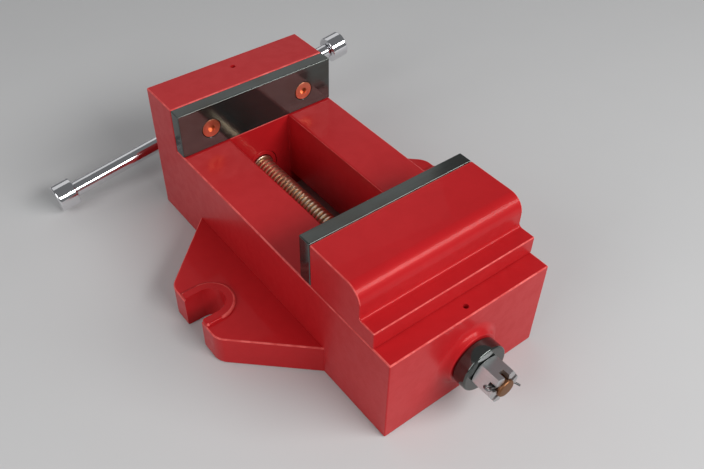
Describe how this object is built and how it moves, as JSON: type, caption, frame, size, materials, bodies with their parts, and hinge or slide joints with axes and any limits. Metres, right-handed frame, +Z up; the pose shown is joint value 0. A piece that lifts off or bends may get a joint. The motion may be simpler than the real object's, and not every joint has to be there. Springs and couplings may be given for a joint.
{
  "type": "bench vise",
  "caption": "Slotted-base machine vise: sliding jaw on two rails, lead screw, steel jaw plates and a sliding bar handle.",
  "frame": {"origin": "on the surface the bed stands on, on the centre plane, midway between the two ends of the lead screw; the bolting slots lie 6.5 mm nearer the castle nut", "axes": "+Y along the lead screw from the castle nut to the handle, +X to the right seen from the castle nut, +Z up; jaws fully open, moving jaw at the near end"},
  "size_m": [0.2178, 0.2812, 0.0825],
  "materials": {
    "red_enamel": "glossy red enamel on cast iron",
    "blackened_steel": "blackened, semi-gloss",
    "copper_plate": "copper-plated steel",
    "bronze": "machined bronze",
    "screw_steel": "oiled steel with a brassy tint",
    "bright_steel": "machined bright steel",
    "chrome": "polished chrome plate"
  },
  "bodies": {
    "bed": {"base_casting": "red_enamel", "fixed_jaw_plate": "blackened_steel", "fixed_plate_screw_left": "copper_plate", "fixed_plate_screw_right": "copper_plate", "front_bearing_bush": "bronze", "rear_bearing_bush": "bronze"},
    "sliding_jaw": {"moving_jaw": "red_enamel", "moving_jaw_plate": "blackened_steel", "moving_plate_screw_left": "copper_plate", "moving_plate_screw_right": "copper_plate", "lead_nut": "bronze", "keep_plate": "bright_steel", "keep_bolt_near_left": "bright_steel", "keep_bolt_near_right": "bright_steel", "keep_bolt_far_left": "bright_steel", "keep_bolt_far_right": "bright_steel"},
    "spindle": {"lead_screw": "screw_steel", "rear_thrust_washer": "bright_steel", "front_thrust_collar": "blackened_steel", "castle_nut": "bright_steel", "split_pin": "bright_steel"},
    "handle": {"handle_bar": "chrome", "handle_knob_left": "chrome", "handle_knob_right": "chrome"}
  },
  "joints": [
    {"name": "screw_spin", "type": "hinge", "parent": "bed", "child": "spindle", "pos_m": [0, 0, 0.026], "axis": [0, -1, 0], "range_deg": [0, 13320]},
    {"name": "jaw_slide", "type": "slide", "parent": "bed", "child": "sliding_jaw", "axis": [0, 1, 0], "range_m": [0, 0.111]},
    {"name": "handle_slide", "type": "slide", "parent": "spindle", "child": "handle", "axis": [0.989, 0, 0.1478], "range_m": [-0.0855, 0.0855]}
  ],
  "couplings": [
    {"joint": "jaw_slide", "follows": "screw_spin", "m_per_rad": 0.00047746}
  ]
}
